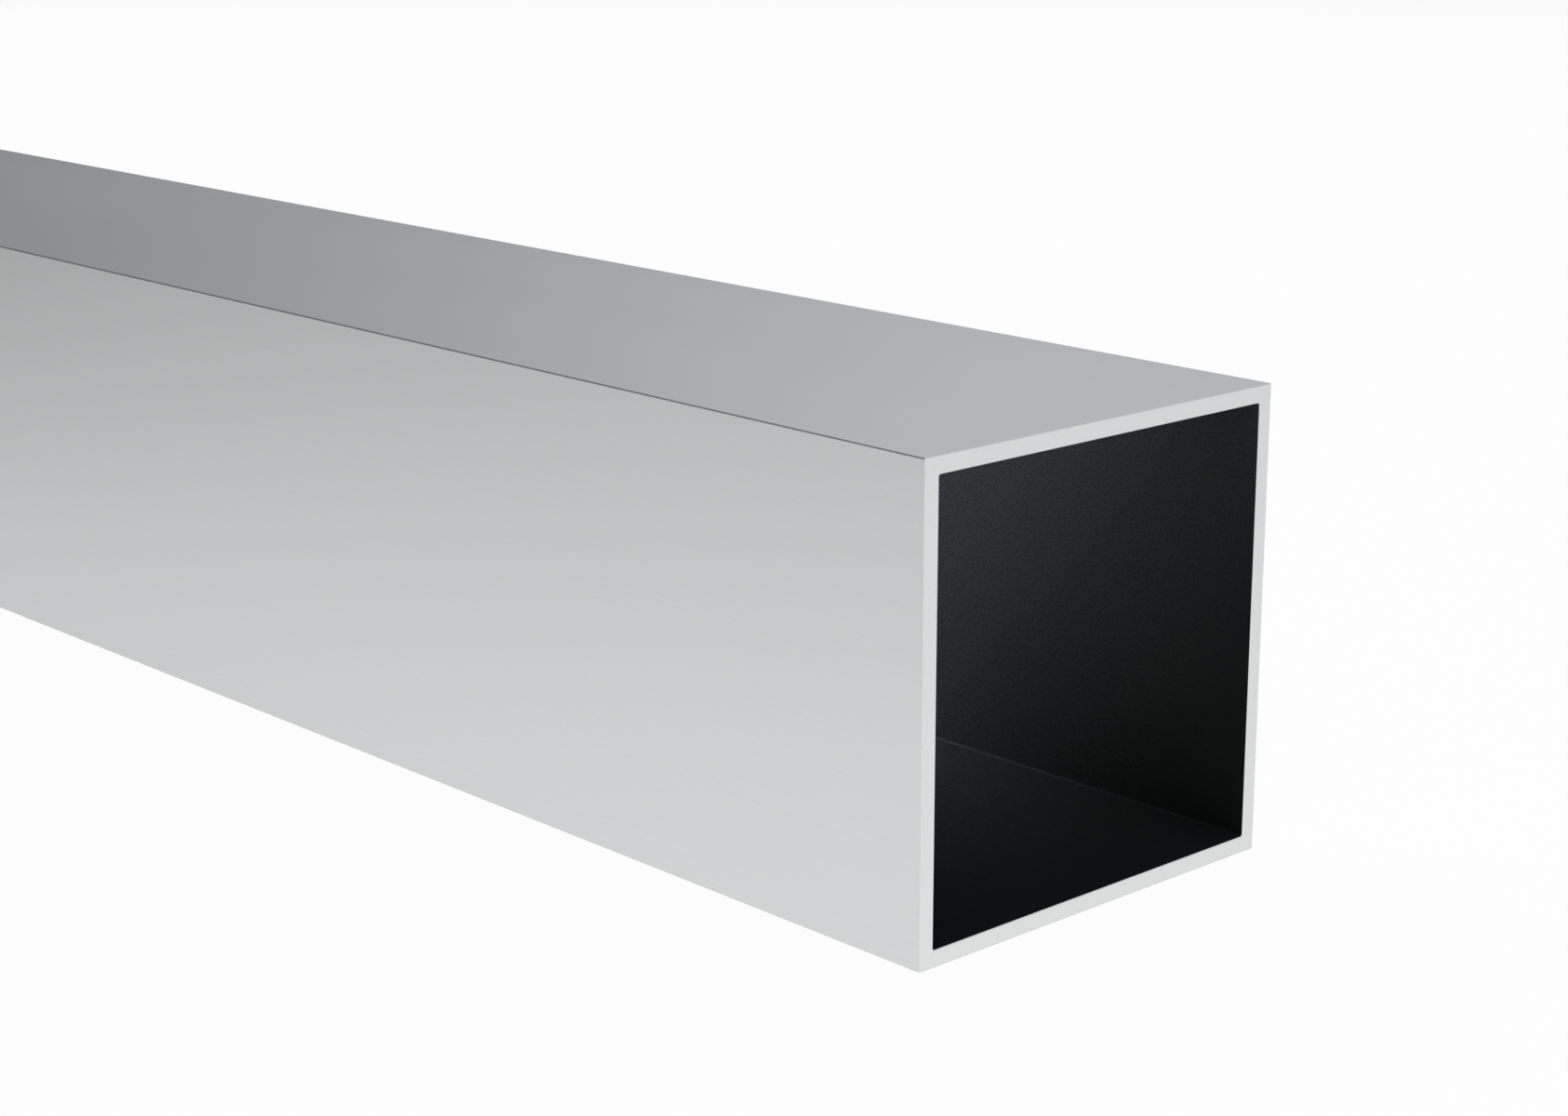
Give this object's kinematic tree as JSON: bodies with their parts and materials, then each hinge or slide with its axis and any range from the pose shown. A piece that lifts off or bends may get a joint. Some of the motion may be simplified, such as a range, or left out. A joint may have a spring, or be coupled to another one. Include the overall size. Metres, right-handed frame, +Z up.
{
  "type": "square aluminium tube",
  "caption": "Square aluminium tube with thin even walls, crisp corners and open, square-sawn ends, for frames, legs and rails.",
  "frame": {"origin": "middle of the outer face that the tube lies on", "axes": "+X along the tube, +Z up through the top face, +Y across it"},
  "size_m": [1, 0.04, 0.04],
  "materials": {
    "aluminium": "satin, as extruded"
  },
  "bodies": {
    "root": {"square_tube": "aluminium"}
  },
  "joints": []
}
